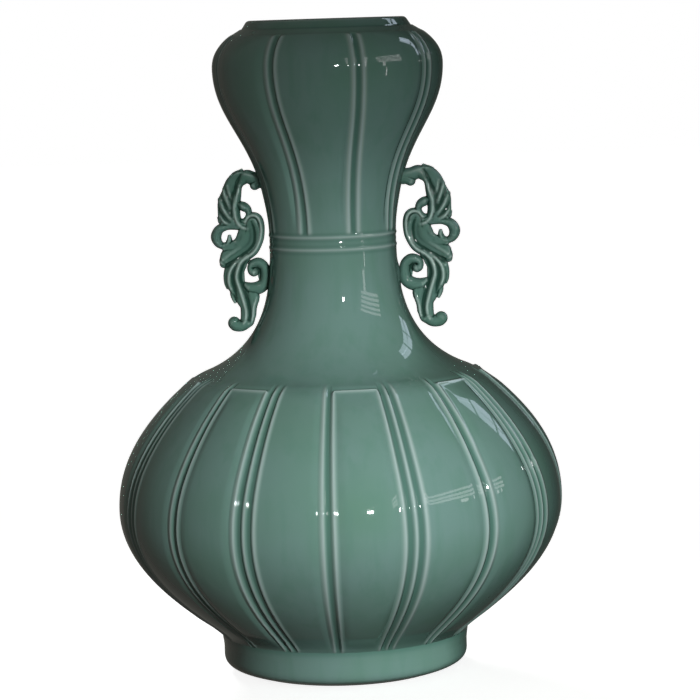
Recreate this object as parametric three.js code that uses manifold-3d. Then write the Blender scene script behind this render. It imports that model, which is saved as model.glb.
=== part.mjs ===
// Celadon garlic-mouth vase with two pierced scroll handles.
// Millimetres, +Z up, the origin at the centre of the foot where it rests.
// The front is -Y, and the handles stand on +X and -X.
import * as THREE from "three";
import { mergeVertices } from "three/addons/utils/BufferGeometryUtils.js";
import Module from "manifold-3d";

// Heights of the joints between the thrown sections.
const FOOT_TOP = 22;
const EQUATOR = 98;
const PANEL_TOP = 173.5;
const BAND_BOTTOM = 248;
const BAND_TOP = 256;
const BULB_START = 311;
const BULB_WIDEST = 353;
const COLLAR = 372;
const HEIGHT = 380;

// Outer radii at those places.
const REST_RADIUS = 59;
const FOOT_RADIUS = 71.7;
const FOOT_ROUND_TOP = 9.5;
const FOOT_TOP_RADIUS = 72.5;
const BELLY_RADIUS = 129;
const PANEL_TOP_RADIUS = 84;
const SHOULDER_RADIUS = 83;
const NECK_RADIUS = 37;
const BULB_RADIUS = 66;
const COLLAR_RADIUS = 55;
const LIP_RADIUS = 44.5;
const LIP_ROUNDING = 0.8;

// Wall, foot and base.
const WALL = 6;
const LEAST_UPRIGHT = 0.55;
const LIP_WALL = 4.5;
const NECK_JOINT_Z = 211;
const FOOT_RING_INNER = 53;
const FOOT_RING_FLARE = 2;
const BASE_LEDGE_Z = 10;
const BASE_LEDGE_RADIUS = 62;
const BASE_THICKNESS = 7;
const JOINT_GAP = 0.3;

// Carving: eight panels with a squared top alternate with eight that run on into the shoulder.
// A double line of edges stands on one side of each panel, and a triple line on the other.
const PERIODS = 8;
const PERIOD_DEG = 360 / PERIODS;
const LINE_PITCH = 5.6;
const GROOVE_DEPTH = 1;
const SQUARED_PANEL_RISE = 0.7;
const SQUARED_PANEL_CROWN = 1.7;
const PLAIN_PANEL_CROWN = 0.6;
const LOBE_CROWN = 0.9;
const LOBE_LINE_SHIFT_DEG = PERIOD_DEG / 2;
const LOBE_TWIST_DEG = -3.5;
const BAND_RIDGE = 0.6;
const BAND_RIDGE_HALF_WIDTH = 1.3;
const BAND_RIDGE_INSET = 1.5;

// Facets round the plain sections, and round each stroke of a handle.
const PLAIN_FACETS = 48;
const STROKE_SIDES = 6;
const STROKE_TURN = Math.PI / STROKE_SIDES;

// Handle.
const SCROLL_DEPTH = 5;
const LEAF_DEPTH = 3.8;
const WEB_DEPTH = 2.6;
const LIFT = 0.5;
const UPPER_JOINT_X = 44;
const LOWER_JOINT_X = 40.4;
const LOWER_ROOT_TOP_Z = 262;
const UPPER_ROOT_BOTTOM_Z = 270;
const UPPER_LUTE = { x: UPPER_JOINT_X, z: 288.4, halfWidth: 5.4, halfHeight: 5 };
const LOWER_LUTE = { x: LOWER_JOINT_X, z: 231.6, halfWidth: 4.6, halfHeight: 4.6 };
const LUTE_THICKNESS = 8;
const LUTE_SIDES = 12;
const LEFT_REACH = 0.95;
const LEFT_SHIFT = 1.4;

const GLAZE = { color: 0x5f8678, roughness: 0.12, metalness: 0 };
const BASE_GLAZE = { color: 0x7d9a8c, roughness: 0.2, metalness: 0 };
const HANDLE_GLAZE = { color: 0x557a6c, roughness: 0.12, metalness: 0 };

const radians = THREE.MathUtils.degToRad;
const point = (radius, height) => new THREE.Vector2(radius, height);

// A curve of the outline that leaves `start` at one slope and reaches `end` at another.
// Slopes are in degrees above the outward horizontal, and lengths are the curve's handles.
function sweep(start, startSlope, startLength, end, endSlope, endLength) {
  const away = (at, slope, length) =>
    point(at.x + length * Math.cos(radians(slope)), at.y + length * Math.sin(radians(slope)));
  return new THREE.CubicBezierCurve(
    start,
    away(start, startSlope, startLength),
    away(end, endSlope, -endLength),
    end,
  );
}

const footRound = sweep(point(REST_RADIUS, 0), 18, 8.5, point(FOOT_RADIUS, FOOT_ROUND_TOP), 90, 6);
const lowerBelly = sweep(
  point(FOOT_TOP_RADIUS, FOOT_TOP), 60, 12, point(BELLY_RADIUS, EQUATOR), 90, 40);
const upperBelly = sweep(
  point(BELLY_RADIUS, EQUATOR), 90, 36, point(PANEL_TOP_RADIUS, PANEL_TOP), 139, 27);
const shoulderAndNeck = sweep(
  point(SHOULDER_RADIUS, PANEL_TOP), 161, 40, point(NECK_RADIUS, BAND_BOTTOM), 90, 35);
const waistAndBulb = sweep(
  point(NECK_RADIUS, BAND_TOP), 90, 54, point(BULB_RADIUS, BULB_WIDEST), 90, 34);
const bulbTop = sweep(point(BULB_RADIUS, BULB_WIDEST), 90, 10, point(COLLAR_RADIUS, COLLAR), 154, 3.5);
const collarAndLip = sweep(
  point(COLLAR_RADIUS, COLLAR), 158, 8.4, point(LIP_RADIUS, HEIGHT - LIP_ROUNDING), 95, 3);

// The share of a rising curve at which it reaches a height.
function shareAtHeight(curve, height) {
  let [low, high] = [0, 1];
  for (let i = 0; i < 40; i++) {
    const middle = (low + high) / 2;
    if (curve.getPoint(middle).y < height) low = middle;
    else high = middle;
  }
  return (low + high) / 2;
}

// Outline points of one section, between two heights on a curve, with its inner wall.
// A point says whether it is outside, where the carving is, or inside.
function shell(curve, bottom, top, outerSteps, innerSteps, wall = WALL) {
  const [first, last] = [shareAtHeight(curve, bottom), shareAtHeight(curve, top)];
  const at = (step, steps) => THREE.MathUtils.lerp(first, last, step / steps);
  const outside = Array.from({ length: outerSteps + 1 }, (_, i) => {
    const p = curve.getPoint(at(i, outerSteps));
    return { radius: p.x, height: p.y, carved: true };
  });
  outside[0].height = bottom;
  outside[outerSteps].height = top;
  const inside = Array.from({ length: innerSteps + 1 }, (_, i) => {
    const share = at(innerSteps - i, innerSteps);
    const p = curve.getPoint(share);
    const out = curve.getTangent(share);
    const height = THREE.MathUtils.clamp(p.y + wall * out.x, bottom, top);
    return { radius: p.x - wall * out.y, height, carved: false };
  });
  inside[0].height = top;
  inside[innerSteps].height = bottom;
  for (const end of [0, innerSteps]) inside[end].radius = innerRadiusAt(curve, inside[end].height, wall);
  return [...outside, ...inside];
}

// The inner radius at a height: the outer one less the wall's width across the slope,
// which is limited where the outline lies nearly flat.
function innerRadiusAt(curve, height, wall) {
  const share = shareAtHeight(curve, height);
  return curve.getPoint(share).x - wall / Math.max(curve.getTangent(share).y, LEAST_UPRIGHT);
}

// Where the facets' edges run round a section, and how far each stands out there.
// `along` is measured in millimetres round the surface, so lines keep their width.
const plainColumns = Array.from({ length: PLAIN_FACETS }, (_, i) => ({
  turn: (360 * i) / PLAIN_FACETS,
  along: 0,
  rise: 0,
}));

function eachPeriod(columns) {
  return Array.from({ length: PERIODS }, (_, period) =>
    columns.map((c) => ({ ...c, turn: c.turn + period * PERIOD_DEG })),
  ).flat();
}

const half = LINE_PITCH / 2;
const middle = PERIOD_DEG / 4;
const bellyColumns = eachPeriod([
  { turn: 0, along: 0, rise: -GROOVE_DEPTH },
  { turn: 0, along: half, rise: SQUARED_PANEL_RISE },
  { turn: middle, along: 0, rise: SQUARED_PANEL_CROWN },
  { turn: PERIOD_DEG / 2, along: -2 * half, rise: SQUARED_PANEL_RISE },
  { turn: PERIOD_DEG / 2, along: -half, rise: -GROOVE_DEPTH },
  { turn: PERIOD_DEG / 2, along: 0, rise: 0 },
  { turn: PERIOD_DEG / 2, along: half, rise: -GROOVE_DEPTH },
  { turn: PERIOD_DEG / 2, along: 2 * half, rise: 0 },
  { turn: PERIOD_DEG - middle, along: 0, rise: PLAIN_PANEL_CROWN },
  { turn: PERIOD_DEG, along: -half, rise: 0 },
]);
const lobeColumns = eachPeriod([
  { turn: 0, along: 0, rise: -GROOVE_DEPTH },
  { turn: 0, along: half, rise: 0 },
  { turn: PERIOD_DEG / 3, along: 0, rise: LOBE_CROWN },
  { turn: (PERIOD_DEG * 2) / 3, along: 0, rise: LOBE_CROWN },
  { turn: PERIOD_DEG, along: -half, rise: 0 },
]).map((c) => ({ ...c, turn: c.turn + LOBE_LINE_SHIFT_DEG }));

// The lobes lean round a little as they climb from the neck band to the widest of the bulb.
const lobeLean = (height) =>
  LOBE_TWIST_DEG * THREE.MathUtils.clamp((height - BAND_TOP) / (BULB_WIDEST - BAND_TOP), 0, 1);

// A solid of revolution from a closed outline, with its facets' edges moved to the columns.
function turned(outline, columns = plainColumns, lean = () => 0) {
  const loop = [...outline, outline[0]];
  const lathe = new THREE.LatheGeometry(
    loop.map((p) => point(p.radius, p.height)),
    columns.length,
  );
  const place = lathe.attributes.position;
  for (let i = 0; i <= columns.length; i++) {
    const column = columns[i % columns.length];
    loop.forEach(({ radius, height, carved }, j) => {
      const turn = radians(column.turn + lean(height)) + (radius > 0 ? column.along / radius : 0);
      const reach = radius + (carved ? column.rise : 0);
      place.setXYZ(i * loop.length + j, reach * Math.sin(turn), -reach * Math.cos(turn), height);
    });
  }
  return lathe;
}

const ring = (...pairs) => pairs.map(([radius, height]) => ({ radius, height, carved: false }));

function footRing() {
  const round = footRound.getPoints(4).map((p) => [p.x, p.y]);
  return turned(
    ring(
      [FOOT_RING_INNER, 0],
      ...round,
      [FOOT_RADIUS + 0.1, (FOOT_TOP + FOOT_ROUND_TOP) / 2],
      [FOOT_TOP_RADIUS, FOOT_TOP],
      [BASE_LEDGE_RADIUS, FOOT_TOP],
      [BASE_LEDGE_RADIUS, BASE_LEDGE_Z],
      [FOOT_RING_INNER - FOOT_RING_FLARE, BASE_LEDGE_Z],
    ),
  );
}

function baseDisc() {
  const edge = BASE_LEDGE_RADIUS - JOINT_GAP;
  const top = BASE_LEDGE_Z + BASE_THICKNESS;
  const outline = [point(0, BASE_LEDGE_Z), point(edge, BASE_LEDGE_Z), point(edge, top), point(0, top)];
  return new THREE.LatheGeometry(outline, PLAIN_FACETS).rotateX(Math.PI / 2);
}

// The plain wall of the neck band, with a fine ridge round each end of it.
function neckBand() {
  const ridge = (height) => [
    [NECK_RADIUS, height - BAND_RIDGE_HALF_WIDTH],
    [NECK_RADIUS + BAND_RIDGE, height],
    [NECK_RADIUS, height + BAND_RIDGE_HALF_WIDTH],
  ];
  return turned(
    ring(
      [NECK_RADIUS - WALL, BAND_BOTTOM],
      [NECK_RADIUS, BAND_BOTTOM],
      ...ridge(BAND_BOTTOM + BAND_RIDGE_INSET),
      ...ridge(BAND_TOP - BAND_RIDGE_INSET),
      [NECK_RADIUS, BAND_TOP],
      [NECK_RADIUS - WALL, BAND_TOP],
    ),
  );
}

function lipRing() {
  const outside = collarAndLip.getPoints(5).map((p) => [p.x, p.y]);
  const inner = LIP_RADIUS - LIP_WALL;
  return turned(
    ring(
      [inner + 2, COLLAR],
      ...outside,
      [inner + 1, HEIGHT],
      [inner, HEIGHT - 3],
    ),
  );
}

// One stroke of a handle: a tapering bar along a curve in the XZ plane through its knots,
// each knot being [x, z, half-width]. It lies `lift` behind the handle's middle plane.
function stroke(knots, depth, steps, lift) {
  const curve = new THREE.CatmullRomCurve3(
    knots.map(([x, z]) => new THREE.Vector3(x, 0, z)), false, "centripetal");
  const widest = Math.max(...knots.map((k) => k[2]));
  const bar = new THREE.CylinderGeometry(1, 1, 1, STROKE_SIDES, steps).rotateY(STROKE_TURN);
  const place = bar.attributes.position;
  for (let i = 0; i < place.count; i++) {
    const share = place.getY(i) + 0.5;
    const knot = Math.min(Math.floor(share * (knots.length - 1)), knots.length - 2);
    const width = THREE.MathUtils.lerp(
      knots[knot][2], knots[knot + 1][2], share * (knots.length - 1) - knot);
    const centre = curve.getPoint(share);
    const along = curve.getTangent(share);
    const across = place.getX(i) * width;
    const thick = depth * Math.sqrt(width / widest);
    place.setXYZ(
      i,
      centre.x + across * along.z,
      lift - place.getZ(i) * thick,
      centre.z - across * along.x,
    );
  }
  return bar;
}

// The strokes of a handle: scrolls curl round their eyes, leaves fan off the stem and the spine,
// and thinner webs close the ground between them.
const SCROLLS = {
  stem: [
    [39, 288.2, 4.6], [43, 288, 4.2], [47, 288.6, 4.1], [51, 289.9, 4], [54.6, 288.4, 4],
    [57, 284.5, 3.4], [57.9, 279, 3], [58.4, 272.5, 3], [57.6, 266, 2.6], [54.6, 261, 2],
  ],
  stemKnob: [[46, 287, 2.8], [46.8, 284.6, 2.4]],
  innerCurl: [[57, 273, 2], [54, 273.2, 2.2], [51.5, 270.8, 2.1], [51, 267.5, 1.8], [52.8, 264.8, 1.7]],
  spine: [
    [53.4, 262.6, 1.6], [51.5, 266, 2.2], [47.6, 266.8, 2.7], [44.8, 263.2, 2.8], [44.6, 258, 2.8],
    [46.2, 252, 3.2], [49.4, 246.8, 3.4], [53.6, 242.2, 3.4], [57, 236.6, 3.2], [58, 230, 3],
    [56.6, 222.5, 3.2], [55, 214.5, 3.2], [55.6, 207.4, 3.4], [59.4, 203.4, 4], [62.2, 204.4, 3.7],
    [63.2, 206.2, 2.4],
  ],
  outerScroll: [
    [55.5, 258.8, 2.2], [59.6, 260.9, 2.2], [64.6, 261.2, 2.3], [69.6, 259.6, 2.7], [72, 255.6, 2.8],
    [70.4, 251.8, 2.5], [67, 250.6, 2], [64.6, 252.6, 1.4], [63.4, 256, 0.9],
  ],
  lowerScroll: [
    [54, 227.5, 2.2], [50, 225, 2.7], [45, 226.2, 2.6], [42, 230.5, 2.6], [41.8, 236, 2.5],
    [44.8, 240, 2.3], [49, 240, 2.3], [51.6, 236.8, 2.1], [50, 233, 2], [48.6, 233.6, 1.4],
  ],
};
const LEAVES = {
  crest: [
    [56, 262, 1], [60.2, 268, 2.8], [61.4, 276, 3.4], [59.8, 284, 3.6], [56.6, 290, 3.2],
    [54.6, 293.6, 1.5],
  ],
  upperLeaf: [[58, 262, 1], [63, 268, 2.8], [64.8, 276, 3], [63.2, 283.4, 3], [60.2, 289.4, 1.8]],
  outerLeaf: [[59.5, 262, 1], [65.4, 265.6, 2.4], [67.4, 271, 2.4], [66.8, 277.4, 1.8], [65.6, 281.6, 0.9]],
  hipLeaf: [[60.5, 261.8, 1], [66, 263.8, 2], [69, 266.8, 1.2]],
  scrollLeaf: [[50, 252, 2.6], [55.5, 249, 3.2], [61, 246.4, 3.6], [66, 243.6, 3.4], [68.6, 240.4, 1.4]],
  middleLeaf: [[55, 245, 2], [60.2, 241, 3], [64.2, 236, 3.2], [65.6, 230, 2.4], [65, 225.6, 1.2]],
  lowerLeaf: [[57, 238, 2.2], [61.4, 232, 3], [62.2, 225, 2.6], [61.4, 219.6, 1.8], [60.4, 216.4, 1]],
  tailLeaf: [[52.5, 226, 2.4], [50.8, 219.5, 3], [50.6, 212, 2.6], [52, 206.6, 2.8], [55.6, 203.4, 2.6]],
  barb: [[50, 222, 2], [47.8, 219.4, 1.8], [47.4, 217, 0.9]],
};
const WEBS = {
  spineWeb: [[53.4, 263, 2.6], [50, 258, 4.2], [51.4, 252, 4.6], [56, 247.5, 3.6]],
  eyeWeb: [[55, 260, 2.4], [56, 255, 2.8], [59.6, 248.8, 2.6]],
};

const wasm = await Module();
wasm.setup();

function solid(geometry) {
  const bare = geometry.clone();
  bare.deleteAttribute("normal");
  bare.deleteAttribute("uv");
  const merged = mergeVertices(bare, 1e-4);
  return new wasm.Manifold(
    new wasm.Mesh({
      numProp: 3,
      vertProperties: new Float32Array(merged.attributes.position.array),
      triVerts: new Uint32Array(merged.index.array),
    }),
  );
}

function geometryOf(manifold) {
  const mesh = manifold.getMesh();
  const geometry = new THREE.BufferGeometry();
  geometry.setAttribute("position", new THREE.BufferAttribute(mesh.vertProperties, 3));
  geometry.setIndex(new THREE.BufferAttribute(mesh.triVerts, 1));
  return geometry;
}

// Everything nearer the axis than x.
function towardsAxis(x, bottom, top) {
  const reach = 2 * HEIGHT;
  const box = new THREE.BoxGeometry(reach, reach, top - bottom);
  return solid(box.translate(x - reach / 2, 0, (bottom + top) / 2));
}

// The vase's outer face round the handles, standing off by the joint's gap.
function neckEnvelope() {
  const outside = [
    ...shoulderAndNeck.getPoints(24).slice(12),
    ...waistAndBulb.getPoints(24).slice(0, 16),
  ].map((p) => point(p.x + JOINT_GAP + LOBE_CROWN, p.y));
  const bottom = outside[0].y;
  const top = outside[outside.length - 1].y;
  const lathe = new THREE.LatheGeometry(
    [point(0, bottom), ...outside, point(0, top)], PLAIN_FACETS);
  return solid(lathe.rotateX(Math.PI / 2));
}

const joined = (parts) => parts.reduce((all, part) => all.add(part));

// Strokes overlap by turns: each lies a little in front of the last, or behind it.
const liftOf = (order) => LIFT * Math.sin(order + 0.5);

// A handle whose reach from the neck is scaled, and which is then pressed `shift` nearer to it.
function handle(reach, shift) {
  const moved = ([x, z, width]) => [LOWER_JOINT_X + (x - LOWER_JOINT_X) * reach - shift, z, width];
  const bars = (shapes, depth, stepsPerKnot, first) =>
    Object.values(shapes).map((knots, i) => {
      const steps = Math.round(stepsPerKnot * (knots.length - 1));
      return solid(stroke(knots.map(moved), depth, steps, liftOf(i + first)));
    });
  const strokes = [
    ...bars(SCROLLS, SCROLL_DEPTH, 1.5, 0),
    ...bars(LEAVES, LEAF_DEPTH, 1, 7),
    ...bars(WEBS, WEB_DEPTH, 1, 16),
  ];
  return joined(strokes)
    .subtract(towardsAxis(LOWER_JOINT_X, 0, LOWER_ROOT_TOP_Z))
    .subtract(towardsAxis(UPPER_JOINT_X, UPPER_ROOT_BOTTOM_Z, HEIGHT));
}

// A pad of slip between the neck and a handle's root, squashed out round the joint.
function lutePad({ x, z, halfWidth, halfHeight }) {
  const pad = new THREE.CylinderGeometry(1, 1, LUTE_THICKNESS, LUTE_SIDES).rotateZ(Math.PI / 2);
  pad.scale(1, halfWidth, halfHeight).translate(x - JOINT_GAP - LUTE_THICKNESS / 2, 0, z);
  return solid(pad).subtract(neckEnvelope());
}

const upperPad = lutePad(UPPER_LUTE);
const lowerPad = lutePad(LOWER_LUTE);

const vase = new THREE.Group();

function add(name, geometry, finish, turnedRound = false) {
  const mesh = new THREE.Mesh(geometry, new THREE.MeshStandardMaterial(finish));
  mesh.name = name;
  if (turnedRound) mesh.rotation.z = Math.PI;
  vase.add(mesh);
}

add("foot_ring", footRing(), GLAZE);
add("base_disc", baseDisc(), BASE_GLAZE);
add("lower_belly", turned(shell(lowerBelly, FOOT_TOP, EQUATOR, 7, 4), bellyColumns), GLAZE);
add("upper_belly", turned(shell(upperBelly, EQUATOR, PANEL_TOP, 6, 4), bellyColumns), GLAZE);
add("shoulder", turned(shell(shoulderAndNeck, PANEL_TOP, NECK_JOINT_Z, 5, 4)), GLAZE);
add("neck", turned(shell(shoulderAndNeck, NECK_JOINT_Z, BAND_BOTTOM, 4, 2)), GLAZE);
add("neck_band", neckBand(), GLAZE);
add("waist", turned(shell(waistAndBulb, BAND_TOP, BULB_START, 5, 3), lobeColumns, lobeLean), GLAZE);
add("lower_bulb", turned(shell(waistAndBulb, BULB_START, BULB_WIDEST, 4, 3), lobeColumns, lobeLean), GLAZE);
add("upper_bulb", turned(shell(bulbTop, BULB_WIDEST, COLLAR, 5, 3), lobeColumns, lobeLean), GLAZE);
add("lip_ring", lipRing(), GLAZE);
// The two handles come from one mould, and the left one was pressed on a little closer.
add("handle_right", geometryOf(handle(1, 0)), HANDLE_GLAZE);
add("handle_left", geometryOf(handle(LEFT_REACH, LEFT_SHIFT)), HANDLE_GLAZE, true);
for (const [side, turnedRound] of [["right", false], ["left", true]]) {
  add(`upper_lute_${side}`, geometryOf(upperPad), HANDLE_GLAZE, turnedRound);
  add(`lower_lute_${side}`, geometryOf(lowerPad), HANDLE_GLAZE, turnedRound);
}

export default vase;
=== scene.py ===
"""The looks of the celadon vase: a finely carved, glazed skin for every section, handle and slip joint."""

import math

import bmesh
import bpy
import numpy as np
from mathutils import Matrix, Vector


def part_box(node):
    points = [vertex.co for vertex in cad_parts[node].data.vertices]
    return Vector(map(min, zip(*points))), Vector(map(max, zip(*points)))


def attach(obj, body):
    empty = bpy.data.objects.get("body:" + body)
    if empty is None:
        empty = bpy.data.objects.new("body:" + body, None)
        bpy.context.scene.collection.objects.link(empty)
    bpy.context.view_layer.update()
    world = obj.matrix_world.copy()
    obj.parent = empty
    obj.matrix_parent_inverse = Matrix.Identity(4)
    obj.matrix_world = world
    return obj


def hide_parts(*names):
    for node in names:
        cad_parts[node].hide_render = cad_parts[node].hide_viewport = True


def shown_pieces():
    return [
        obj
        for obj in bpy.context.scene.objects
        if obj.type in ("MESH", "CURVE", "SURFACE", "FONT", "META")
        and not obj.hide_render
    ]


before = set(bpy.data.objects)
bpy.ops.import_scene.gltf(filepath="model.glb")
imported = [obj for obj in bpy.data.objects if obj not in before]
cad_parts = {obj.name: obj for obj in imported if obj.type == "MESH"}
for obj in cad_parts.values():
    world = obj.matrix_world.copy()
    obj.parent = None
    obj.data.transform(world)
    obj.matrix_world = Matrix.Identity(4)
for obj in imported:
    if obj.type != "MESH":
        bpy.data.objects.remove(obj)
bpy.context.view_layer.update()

MM = 0.001


def bottom_of(node):
    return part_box(node)[0].z / MM


def top_of(node):
    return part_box(node)[1].z / MM


# ---------------------------------------------------------------- places, in millimetres, from the frame
FOOT_TOP = top_of("foot_ring")
EQUATOR = top_of("lower_belly")
PANEL_TOP = top_of("upper_belly")
NECK_JOINT = top_of("shoulder")
BAND_BOTTOM = bottom_of("neck_band")
BAND_TOP = top_of("neck_band")
BULB_START = top_of("waist")
BULB_WIDEST = top_of("lower_bulb")
COLLAR = bottom_of("lip_ring")
HEIGHT = top_of("lip_ring")

# Outer radii of the outline, in millimetres.
REST_RADIUS = 59.0
FOOT_RADIUS = 71.7
FOOT_TOP_RADIUS = 72.5
BELLY_RADIUS = 129.0
PANEL_TOP_RADIUS = 84.0
NECK_RADIUS = 37.0
BULB_RADIUS = 66.0
COLLAR_RADIUS = 55.0
BELLY_TOP_SLOPE = 139.0
SHOULDER_SLOPE = 161.0
WALL = 6.0
FOOT_ROUND_TOP = 9.5
FOOT_RING_INNER = 53.0
BASE_LEDGE_RADIUS = 62.0
BASE_GAP = 0.3
BASE_DOME = 0.8
FOOT_FLARE_START = 14.0
CREASE_RADIUS = 49.8
CREASE_RISE = 3.0

# Carving, in millimetres.
LINE_PITCH = 6.3
LINE_TAPER = 0.7
LOBE_LINE_PITCH = 5.5
GROOVE_DEPTH = 0.75
GROOVE_HALF_WIDTH = 1.55
BEAD_HEIGHT = 0.42
BEAD_WIDTH = 0.95
BEAD_SHOULDER = 1.6
CORNER_ROUNDING = 1.8
SQUARED_RISE = 0.3
SQUARED_CROWN = 1.2
PLAIN_CROWN = 0.6
LOBE_CROWN = 1.0
BAND_RIDGE = 0.38
BAND_HOLLOW = 0.15
EDGE_HOLLOW = 0.12
WORN_REACH = 7.0
SETTLING = 14.0
DRIFT_DEG = 1.8
LOBE_DRIFT_DEG = 0.8
LOBE_TWIST_DEG = -3.5
GATHER_DEG = 2.2
GATHER_HEIGHT = 142.0
GATHER_SPAN = 28.0
PERIODS = 8

# How fine the skins are, in millimetres.
LINE_STEP = 0.33
ROW_STEP = 1.5
FINE_ROW_STEP = 0.4
INNER_ROW_STEP = 5.0
FOOT_ROWS = 24
PANEL_COLUMNS = 12
MOST_SHARE_IN_LINES = 0.7


def smooth(low, high, x):
    t = np.clip((x - low) / (high - low), 0, 1)
    return t * t * (3 - 2 * t)


def bump(x, width):
    return np.exp(-((x / width) ** 2))


# ---------------------------------------------------------------- the outline's curves
class Sweep:
    """A cubic curve in the (radius, height) plane that leaves and arrives at given slopes."""

    def __init__(self, start, start_slope, start_length, end, end_slope, end_length):
        def away(at, slope, length):
            a = math.radians(slope)
            return (at[0] + length * math.cos(a), at[1] + length * math.sin(a))

        self.knots = np.array(
            [start, away(start, start_slope, start_length), away(end, end_slope, -end_length), end]
        )
        t = np.linspace(0, 1, 2001)
        self.share, self.path = t, self.at(t)
        steps = np.hypot(*np.diff(self.path, axis=0).T)
        self.length = np.concatenate([[0], np.cumsum(steps)])

    def at(self, t):
        t = np.asarray(t)[:, None]
        a, b, c, d = self.knots
        return (1 - t) ** 3 * a + 3 * (1 - t) ** 2 * t * b + 3 * (1 - t) * t**2 * c + t**3 * d

    def length_at_height(self, height):
        return np.interp(height, self.path[:, 1], self.length)

    def points(self, lengths):
        """Points and outward normals at lengths along the curve."""
        t = np.interp(lengths, self.length, self.share)
        small = 1e-4
        ahead = self.at(np.minimum(t + small, 1)) - self.at(np.maximum(t - small, 0))
        ahead /= np.linalg.norm(ahead, axis=1)[:, None]
        return self.at(t), np.stack([ahead[:, 1], -ahead[:, 0]], 1)


foot_round = Sweep((REST_RADIUS, 0), 18, 8.5, (FOOT_RADIUS, FOOT_ROUND_TOP), 90, 6)
lower_belly = Sweep((FOOT_TOP_RADIUS, FOOT_TOP), 60, 12, (BELLY_RADIUS, EQUATOR), 90, 40)
upper_belly = Sweep((BELLY_RADIUS, EQUATOR), 90, 36, (PANEL_TOP_RADIUS, PANEL_TOP), BELLY_TOP_SLOPE, 27)
shoulder_and_neck = Sweep(
    (PANEL_TOP_RADIUS, PANEL_TOP), SHOULDER_SLOPE, 40, (NECK_RADIUS, BAND_BOTTOM), 90, 35)
band_wall = Sweep((NECK_RADIUS, BAND_BOTTOM), 90, 3, (NECK_RADIUS, BAND_TOP), 90, 3)
waist_and_bulb = Sweep((NECK_RADIUS, BAND_TOP), 90, 54, (BULB_RADIUS, BULB_WIDEST), 90, 34)
bulb_top = Sweep((BULB_RADIUS, BULB_WIDEST), 90, 10, (COLLAR_RADIUS, COLLAR), 154, 3.5)


def spaced(low, high, step, fine_spans=(), fine_step=FINE_ROW_STEP):
    """Places from low to high, `step` apart, and `fine_step` apart inside the fine spans."""
    edges = {low, high}
    for a, b in fine_spans:
        edges.update((min(max(a, low), high), min(max(b, low), high)))
    edges = sorted(edges)
    places = [low]
    for a, b in zip(edges, edges[1:]):
        if b - a < 1e-9:
            continue
        middle = (a + b) / 2
        fine = any(p <= middle <= q for p, q in fine_spans)
        count = max(1, math.ceil((b - a) / (fine_step if fine else step)))
        places.extend(np.linspace(a, b, count + 1)[1:])
    return np.array(places)


# ---------------------------------------------------------------- a skin's columns, and the carving on them
class Columns:
    """Where the skin's columns stand round the vase. Beside a carved line they keep their distance in
    millimetres, which only shrinks by `taper` as the vase narrows. Between lines they share out the panel."""

    def __init__(self, lines, reach, widest, taper):
        self.lines = lines
        self.widest = widest
        self.taper = taper
        entries = []
        for i, entry in enumerate(lines):
            half = entry["half_width"] + reach
            inner = np.arange(-half, half + LINE_STEP / 2, LINE_STEP)
            for s in np.linspace(-half, half, len(inner)):
                entries.append((i, s, 0.0, True))
            for f in np.linspace(0, 1, PANEL_COLUMNS + 2)[1:-1]:
                entries.append((i, half, f, False))
        self.base, self.offset, self.across, self.near_line = map(np.array, zip(*entries))
        self.count = len(entries)
        self.turn = np.radians([entry["turn"] for entry in lines])
        self.half = np.array([entry["half_width"] + reach for entry in lines])

    def azimuth(self, radius):
        """Azimuths of every column at each radius: rows by columns."""
        full_width = self.half.sum() / (math.pi * MOST_SHARE_IN_LINES)
        radius = np.asarray(radius)[:, None]
        tapered = self.widest * (radius / self.widest) ** (1 - self.taper)
        tapered = np.maximum(tapered, full_width)
        after = (self.base + 1) % len(self.lines)
        gap = (self.turn[after] - self.turn[self.base]) % (2 * math.pi)
        free = gap - (self.half[self.base] + self.half[after]) / tapered
        return self.turn[self.base] + self.offset / tapered + self.across * free

    def share_of_panel(self, radius):
        """How far across its panel each column stands, from 0 at one line's middle to 1 at the next."""
        azimuth = self.azimuth(radius)
        after = (self.base + 1) % len(self.lines)
        gap = (self.turn[after] - self.turn[self.base]) % (2 * math.pi)
        return (azimuth - self.turn[self.base]) / gap


def drifted(turn, drift):
    """Lines scribed by hand gather a little towards the front."""
    return turn - drift * math.sin(math.radians(turn))


def belly_lines():
    lines = []
    for period in range(PERIODS):
        start = period * 360 / PERIODS
        lines.append({"turn": drifted(start, DRIFT_DEG), "half_width": LINE_PITCH / 2, "squared": "after"})
        middle = start + 180 / PERIODS
        lines.append({"turn": drifted(middle, DRIFT_DEG), "half_width": LINE_PITCH, "squared": "before"})
    return lines


def lobe_lines():
    turns = [(period + 0.5) * 360 / PERIODS for period in range(PERIODS)]
    return [
        {"turn": drifted(turn, LOBE_DRIFT_DEG), "half_width": LOBE_LINE_PITCH / 2, "squared": None}
        for turn in turns
    ]


LINE_REACH = 3.2
belly_columns = Columns(belly_lines(), LINE_REACH, BELLY_RADIUS, LINE_TAPER)
lobe_columns = Columns(lobe_lines(), LINE_REACH, BULB_RADIUS, 0.0)


def bead(past, far_width):
    """A bead's cross-section: steep towards its groove, gentle where it runs out into the panel."""
    return np.where(past > 0, bump(past, far_width), bump(past, BEAD_WIDTH))


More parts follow.
